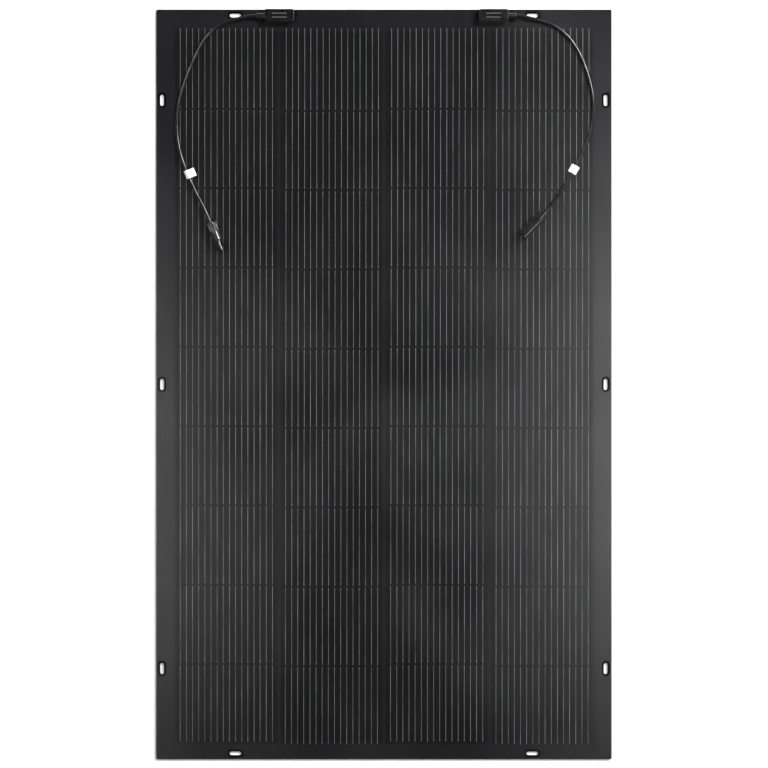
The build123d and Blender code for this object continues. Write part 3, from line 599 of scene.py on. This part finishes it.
RIBBON_COLOUR = "0E0F10"
BLOTCH_GRAINS = 18               # a blotch in a finish is this many grains across
MIDDLING_OF_TWO = {"From Min": 0.7, "From Max": 1.3}     # for two noises added up


def give(material, *nodes):
    """Gives CAD nodes a material in place of their plain one."""
    for name in nodes:
        mesh = frame["nodes"][name].data
        mesh.materials.clear()
        mesh.materials.append(material)


def coated(name, code, grain_mm, rough, relief_depth, rubbed=None, **constants):
    """A coated or moulded finish with fine grain, rubbed to a colour above a height if given."""
    material, tree, shader = start_material(name, **constants)
    place = add(tree, "ShaderNodeTexCoord").outputs["Object"]
    grain = add(tree, "ShaderNodeTexNoise",
                {"Vector": place, "Scale": 1000 / grain_mm, "Detail": 3.0})
    blotch = add(tree, "ShaderNodeTexNoise",
                 {"Vector": place, "Scale": 1000 / (grain_mm * BLOTCH_GRAINS), "Detail": 2.0})
    both = add(tree, "ShaderNodeMath", {0: grain, 1: blotch}, operation="ADD")
    shade = add(tree, "ShaderNodeMapRange",
                {"Value": both, **MIDDLING_OF_TWO, "To Min": 0.72, "To Max": 1.3})
    base = add(tree, "ShaderNodeVectorMath", {0: colour(code)[:3], "Scale": shade},
               operation="SCALE").outputs[0]
    if rubbed:
        upright = add(tree, "ShaderNodeSeparateXYZ", {0: place}).outputs["Z"]
        on_top = add(tree, "ShaderNodeMath", {0: upright, 1: rubbed[0]}, operation="GREATER_THAN")
        base = add(tree, "ShaderNodeMix", {0: on_top, 6: base, 7: colour(rubbed[1])},
                   data_type="RGBA").outputs[2]
    gloss = add(tree, "ShaderNodeMapRange",
                {"Value": both, **MIDDLING_OF_TWO, "To Min": rough - 0.06,
                 "To Max": rough + 0.08})
    relief = add(tree, "ShaderNodeBump",
                 {"Height": grain, "Strength": 0.3, "Distance": relief_depth})
    tree.links.new(base, shader.inputs["Base Color"])
    tree.links.new(gloss.outputs[0], shader.inputs["Roughness"])
    tree.links.new(relief.outputs[0], shader.inputs["Normal"])
    return material


# Black enamel on copper ribbon: satin, with slight rolling marks.
give(coated("black coated ribbon", RIBBON_COLOUR, 1.0, 0.45, 0.00005), "top_bus_ribbons",
     "bottom_bus_ribbons")


# ---------------------------------------------------------------- junction boxes
# Two low boxes moulded in black polyphenylene oxide, glued to the top edge with their lids
# clipped on. Each holds a pair of terminals and a bypass diode.

BOX_COLOUR = "070708"
RUBBED_COLOUR = "5E5F61"     # of the two ribs on each lid, rubbed pale by handling
RIB_HEIGHT = 0.0003
BOX_GRAIN_MM = 0.6           # a spark-eroded grain of about 0.1 mm, drawn coarser to show
TERMINAL_COLOUR = "B9B4A8"
DIODE_COLOUR = "161617"

# Glass-filled polyphenylene oxide from a spark-eroded mould: satin black with a fine grain.
rib_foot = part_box("junction_box_lid_left")[1].z - RIB_HEIGHT / 2
give(coated("moulded polyphenylene oxide", BOX_COLOUR, BOX_GRAIN_MM, 0.28, 0.00003,
            rubbed=(rib_foot, RUBBED_COLOUR), IOR=1.5, Specular_IOR_Level=0.35),
     "junction_box_base_left", "junction_box_base_right", "junction_box_lid_left",
     "junction_box_lid_right")
# Tin-plated brass strip: pale satin metal.
give(coated("tin plated brass", TERMINAL_COLOUR, 0.8, 0.35, 0.00003, Metallic=1.0),
     "box_terminals")
# Black moulding epoxy round a diode: dull and slightly gritty.
give(coated("moulding epoxy", DIODE_COLOUR, 0.5, 0.55, 0.00004, IOR=1.55), "bypass_diodes")


# ---------------------------------------------------------------- cable glands
# A short ribbed sleeve, moulded in black polyamide, holds each lead where it leaves its box.

GLAND_COLOUR = "101011"

# Moulded polyamide: softer and slightly glossier than the boxes.
give(coated("moulded polyamide", GLAND_COLOUR, 0.5, 0.3, 0.00005, IOR=1.53),
     "cable_gland_left", "cable_gland_right")


# ---------------------------------------------------------------- leads
# Two single-core solar leads, tinned copper strand in a cross-linked polyolefin jacket. Each
# leaves its box straight, lies down on the film in one wide curve, and ends in its connector.

LEAD_DIAMETER = 0.0055
JACKET_COLOUR = "0A0A0B"
LEFT_EXIT = (-0.225, 0.6527, 0.0091)
RIGHT_EXIT = (0.234, 0.6527, 0.0091)
LEFT_ROUTE = (
    LEFT_EXIT, (-0.2370, 0.6527, 0.0091), (-0.2585, 0.6484, 0.0079), (-0.2815, 0.6406, 0.0062),
    (-0.3025, 0.6290, 0.0055), (-0.3195, 0.6110, 0.0055), (-0.3315, 0.5875, 0.0055),
    (-0.3435, 0.5610, 0.0055), (-0.3540, 0.5340, 0.0055), (-0.3625, 0.5045, 0.0055),
    (-0.3673, 0.4725, 0.0055), (-0.3673, 0.4405, 0.0055), (-0.3610, 0.4070, 0.0057),
    (-0.3500, 0.3760, 0.0059), (-0.3350, 0.3430, 0.0068), (-0.31449, 0.30474, 0.01135),
    (-0.30250, 0.27507, 0.01135))
RIGHT_ROUTE = (
    RIGHT_EXIT, (0.2455, 0.6527, 0.0091), (0.2645, 0.6476, 0.0079), (0.2875, 0.6416, 0.0063),
    (0.3095, 0.6316, 0.0055), (0.3285, 0.6155, 0.0055), (0.3440, 0.5930, 0.0055),
    (0.3558, 0.5665, 0.0055), (0.3648, 0.5385, 0.0055), (0.3706, 0.5090, 0.0055),
    (0.3718, 0.4785, 0.0055), (0.3675, 0.4470, 0.0055), (0.3535, 0.4115, 0.0057),
    (0.3348, 0.3775, 0.0059), (0.3136, 0.3409, 0.0070), (0.29610, 0.31450, 0.01135),
    (0.27771, 0.29611, 0.01135))

# Extruded cross-linked polyolefin: satin black, drawn smooth by the die.
lead_jacket = coated("extruded polyolefin jacket", JACKET_COLOUR, 1.6, 0.18, 0.00002, IOR=1.5)


def lead(name, route):
    """A lead as one smooth curve with the route's points as its control points."""
    curve = bpy.data.curves.new(name, "CURVE")
    curve.dimensions = "3D"
    line = curve.splines.new("NURBS")
    line.points.add(len(route) - 1)
    for point, place in zip(line.points, route):
        point.co = (*place, 1.0)
    line.order_u = 3
    line.use_endpoint_u = True
    line.resolution_u = 12
    curve.bevel_depth = LEAD_DIAMETER / 2
    curve.bevel_resolution = 6
    curve.use_fill_caps = True
    curve.materials.append(lead_jacket)
    piece = bpy.data.objects.new(name, curve)
    bpy.context.scene.collection.objects.link(piece)
    return piece


lead_left = lead("left_lead", LEFT_ROUTE)
lead_right = lead("right_lead", RIGHT_ROUTE)
for piece, node in ((lead_left, "lead_left"), (lead_right, "lead_right")):
    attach(piece, "root")
    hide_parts(node)


# ---------------------------------------------------------------- lead labels
# A white vinyl sticker is folded round each lead and pressed to itself, so that it stands out
# as a small stiff flag with slightly lifted corners. It carries one small plain grey mark.

LABEL_LENGTH = 0.015
LABEL_PLY = 0.00015
LABEL_LOOP_R = 0.00288
LABEL_PLY_GAP = 0.00011
LABEL_LIFT = 0.0007
LIFT_AT_MIDDLE = 0.4             # of the lift, halfway along an outer edge
LIFT_TO_CORNER = 4.0             # how fast it grows toward the corners
LABEL_STATIONS = 9
WING_STATIONS = 6
LOOP_STATIONS = 12
LEFT_LABEL_DISTANCE = 0.107      # along the lead from its end
RIGHT_LABEL_DISTANCE = 0.104
LEFT_LABEL_REACH = (0.0044, 0.0144)
RIGHT_LABEL_REACH = (0.0074, 0.0074)
LEFT_MARK = (-0.3405, 0.3750)
RIGHT_MARK = (0.3363, 0.3820)
MARK_R = 0.0014
LABEL_COLOUR = "E6E6E4"
LABEL_SHADE_COLOUR = "D2D2CF"
MARK_COLOUR = "55565A"


def place_on_lead(piece, from_end):
    """The point and the direction of a lead's line at a distance from its far end."""
    line = piece.copy()
    line.data = piece.data.copy()
    line.data.bevel_depth = 0.0
    bpy.context.scene.collection.objects.link(line)
    made = line.evaluated_get(bpy.context.evaluated_depsgraph_get())
    mesh = bpy.data.meshes.new_from_object(made)
    points = [v.co.copy() for v in mesh.vertices]
    bpy.data.objects.remove(line)
    bpy.data.meshes.remove(mesh)
    points.reverse()
    for first, second in zip(points, points[1:]):
        step = (second - first).length
        if from_end <= step:
            return first.lerp(second, from_end / step), (first - second).normalized()
        from_end -= step
    raise ValueError("the lead is shorter than that")


def label_profile(reach_left, reach_right):
    """The sticker's line across the lead, from its axis: over it from side to side, and back."""
    start = math.asin(LABEL_PLY_GAP / LABEL_LOOP_R)
    loop = [math.pi * step / LOOP_STATIONS for step in range(LOOP_STATIONS + 1)]
    loop = [start + angle * (math.pi - 2 * start) / math.pi for angle in loop]
    wing = [step / WING_STATIONS for step in range(WING_STATIONS, 0, -1)]
    over = [(LABEL_LOOP_R + t * (reach_right - LABEL_LOOP_R), LABEL_PLY_GAP) for t in wing]
    over += [(LABEL_LOOP_R * math.cos(a), LABEL_LOOP_R * math.sin(a)) for a in loop]
    over += [(-LABEL_LOOP_R - t * (reach_left - LABEL_LOOP_R), LABEL_PLY_GAP) for t in wing[::-1]]
    return over + [(across, -up) for across, up in over[::-1]]


def label(name, piece, from_end, reaches, mark):
    """A folded sticker on a lead, as a closed sheet of real thickness."""
    middle, along = place_on_lead(piece, from_end)
    side = Vector((0, 0, 1)).cross(along).normalized()
    up = along.cross(side)
    profile = label_profile(*reaches)
    points, faces = [], []
    for station in range(LABEL_STATIONS):
        share = station / (LABEL_STATIONS - 1) - 0.5
        for across, height in profile:
            outward = max(0.0, abs(across) - LABEL_LOOP_R) / LABEL_LENGTH
            lift = LABEL_LIFT * outward * (LIFT_AT_MIDDLE + LIFT_TO_CORNER * share * share)
            points.append(middle + share * LABEL_LENGTH * along + across * side
                          + (height + lift) * up)
    count = len(profile)
    for station in range(LABEL_STATIONS - 1):
        for step in range(count - 1):
            corner = station * count + step
            faces.append((corner, corner + count, corner + count + 1, corner + 1))
    mesh = bpy.data.meshes.new(name)
    mesh.from_pydata(points, [], faces)
    mesh.shade_smooth()
    flag = bpy.data.objects.new(name, mesh)
    bpy.context.scene.collection.objects.link(flag)
    ply = flag.modifiers.new("ply", "SOLIDIFY")
    ply.thickness = LABEL_PLY
    ply.offset = 0.0

    # White vinyl film with a paper-like coating: matt, faintly mottled, one grey printed dot.
    vinyl, tree, shader = start_material("coated white vinyl " + name, IOR=1.5)
    place = add(tree, "ShaderNodeTexCoord").outputs["Object"]
    fibre = add(tree, "ShaderNodeTexNoise", {"Vector": place, "Scale": 1400.0, "Detail": 4.0})
    white = add(tree, "ShaderNodeMix",
                {0: fibre, 6: colour(LABEL_COLOUR), 7: colour(LABEL_SHADE_COLOUR)},
                data_type="RGBA")
    flat = add(tree, "ShaderNodeVectorMath", {0: place, 1: (1.0, 1.0, 0.0)}, operation="MULTIPLY")
    off_mark = add(tree, "ShaderNodeVectorMath", {0: flat, 1: (*mark, 0.0)}, operation="DISTANCE")
    printed = add(tree, "ShaderNodeMapRange",
                  {"Value": off_mark.outputs["Value"], "From Min": MARK_R * 0.6,
                   "From Max": MARK_R, "To Min": 0.9, "To Max": 0.0})
    shade = add(tree, "ShaderNodeMix", {0: printed, 6: white, 7: colour(MARK_COLOUR)},
                data_type="RGBA")
    gloss = add(tree, "ShaderNodeMapRange", {"Value": fibre, "To Min": 0.5, "To Max": 0.65})
    relief = add(tree, "ShaderNodeBump", {"Height": fibre, "Strength": 0.2, "Distance": 0.00005})
    tree.links.new(shade.outputs[2], shader.inputs["Base Color"])
    tree.links.new(gloss.outputs[0], shader.inputs["Roughness"])
    tree.links.new(relief.outputs[0], shader.inputs["Normal"])
    mesh.materials.append(vinyl)
    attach(flag, "root")
    return flag


label_left = label("left_lead_label", lead_left, LEFT_LABEL_DISTANCE, LEFT_LABEL_REACH, LEFT_MARK)
label_right = label("right_lead_label", lead_right, RIGHT_LABEL_DISTANCE, RIGHT_LABEL_REACH,
                    RIGHT_MARK)
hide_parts("lead_label_left")
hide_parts("lead_label_right")


# ---------------------------------------------------------------- connectors
# A matching pair of plug-in solar connectors, moulded in black polyphenylene oxide: one with a
# probe, two latch fingers and a sealing ring, one a socket with windows that catch the fingers.

CONNECTOR_COLOUR = "070708"
SEAL_COLOUR = "2E080C"
RUBBER_COLOUR = "1A1A1B"
CONTACT_COLOUR = "C9C6BE"

# Polyphenylene oxide from a polished mould: glossier than the boxes.
give(coated("polished polyphenylene oxide", CONNECTOR_COLOUR, 0.7, 0.2, 0.00003, IOR=1.55),
     "probe_connector_body", "probe_cap_nut", "probe_latch_finger_a", "probe_latch_finger_b",
     "socket_connector_body", "socket_cap_nut")
# Moulded silicone: dark red and slightly greasy in its shine.
give(coated("moulded silicone", SEAL_COLOUR, 0.8, 0.35, 0.00004, IOR=1.41), "probe_seal_ring")
# Moulded rubber: dull black.
give(coated("moulded rubber", RUBBER_COLOUR, 0.5, 0.6, 0.00004), "connector_cable_seals")
# Tin-plated copper contacts: pale satin metal.
give(coated("tin plated copper", CONTACT_COLOUR, 0.7, 0.28, 0.00002, Metallic=1.0),
     "probe_contact", "socket_contact_pin")


# ---------------------------------------------------------------- studio
# The sheet lies face up on a plain white floor under a dark ceiling. The key softbox stands at
# its upper right and a weaker one at its upper left, and two narrow strips hang over the sheet's
# sides for the sheen along them.

CAMERA_PLACE = (0.0001, 0.0006, 3.75)
CAMERA_LENS = 99.03
FLOOR_SIZE = 30.0
FLOOR_Z = -0.001
FLOOR_COLOUR = "F7F7F6"
FLOOR_PATCH_COLOUR = "F0F0EF"
GLOW_START = 1.2                 # metres out along the floor
GLOW_FULL = 4.0
HORIZON_COLOUR = (1.0, 1.0, 1.0, 1.0)
CEILING_COLOUR = (0.006, 0.006, 0.0065, 1.0)

floor_mesh = bpy.data.meshes.new("floor")
half = FLOOR_SIZE / 2
floor_mesh.from_pydata([(-half, -half, FLOOR_Z), (half, -half, FLOOR_Z), (half, half, FLOOR_Z),
                        (-half, half, FLOOR_Z)], [], [(0, 1, 2, 3)])
floor = bpy.data.objects.new("floor", floor_mesh)
bpy.context.scene.collection.objects.link(floor)
floor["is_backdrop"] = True
# Matt painted floor with a faint unevenness, lit from behind far out so that it has no edge.
floor_paint, tree, shader = start_material("matt floor paint", Specular_IOR_Level=0.2,
                                           Emission_Color=(1.0, 1.0, 1.0, 1.0))
place = add(tree, "ShaderNodeTexCoord").outputs["Object"]
far_out = add(tree, "ShaderNodeVectorMath", {0: place}, operation="LENGTH").outputs["Value"]
glow = add(tree, "ShaderNodeMapRange",
           {"Value": far_out, "From Min": GLOW_START, "From Max": GLOW_FULL})
tree.links.new(glow.outputs[0], shader.inputs["Emission Strength"])
patches = add(tree, "ShaderNodeTexNoise", {"Vector": place, "Scale": 3.0, "Detail": 3.0})
paint = add(tree, "ShaderNodeMix",
            {0: patches, 6: colour(FLOOR_COLOUR), 7: colour(FLOOR_PATCH_COLOUR)},
            data_type="RGBA")
paint_gloss = add(tree, "ShaderNodeMapRange", {"Value": patches, "To Min": 0.75, "To Max": 0.9})
tree.links.new(paint.outputs[2], shader.inputs["Base Color"])
tree.links.new(paint_gloss.outputs[0], shader.inputs["Roughness"])
floor_mesh.materials.append(floor_paint)

world = bpy.data.worlds.new("studio")
world.use_nodes = True
world.node_tree.nodes.clear()
direction = add(world.node_tree, "ShaderNodeTexCoord").outputs["Generated"]
height = add(world.node_tree, "ShaderNodeSeparateXYZ", {0: direction}).outputs["Z"]
toward_ceiling = add(world.node_tree, "ShaderNodeMapRange",
                     {"Value": height, "From Min": 0.05, "From Max": 0.5})
sky = add(world.node_tree, "ShaderNodeMix",
          {0: toward_ceiling, 6: HORIZON_COLOUR, 7: CEILING_COLOUR}, data_type="RGBA")
background = add(world.node_tree, "ShaderNodeBackground", {"Color": sky, "Strength": 1.0})
add(world.node_tree, "ShaderNodeOutputWorld", {"Surface": background})
bpy.context.scene.world = world


def softbox(name, place, aim, width, height, watts):
    """A rectangular softbox at a place, turned toward a point on the sheet."""
    light = bpy.data.lights.new(name, "AREA")
    light.shape = "RECTANGLE"
    light.size = width
    light.size_y = height
    light.energy = watts
    lamp = bpy.data.objects.new(name, light)
    turn = (Vector(aim) - Vector(place)).to_track_quat("-Z", "Y")
    lamp.matrix_world = Matrix.Translation(place) @ turn.to_matrix().to_4x4()
    lamp.visible_camera = False
    bpy.context.scene.collection.objects.link(lamp)


softbox("softbox_key", (2.5, 2.1, 2.6), (0.1, 0.3, 0.0), 2.0, 0.7, 340)
softbox("softbox_fill", (-2.5, 2.0, 2.4), (-0.1, 0.3, 0.0), 1.6, 0.6, 60)
softbox("softbox_right", (1.0, -0.12, 2.7), (0.25, -0.1, 0.0), 1.5, 0.26, 23)
softbox("softbox_left", (-1.0, -0.25, 2.7), (-0.25, -0.1, 0.0), 1.2, 0.26, 13)

lens = bpy.data.cameras.new("camera")
lens.lens = CAMERA_LENS
camera = bpy.data.objects.new("camera", lens)
camera.location = CAMERA_PLACE
bpy.context.scene.collection.objects.link(camera)
bpy.context.scene.camera = camera
bpy.context.scene.view_settings.view_transform = "Standard"


# ---------------------------------------------------------------- size
# The box of the finished piece.

low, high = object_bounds()
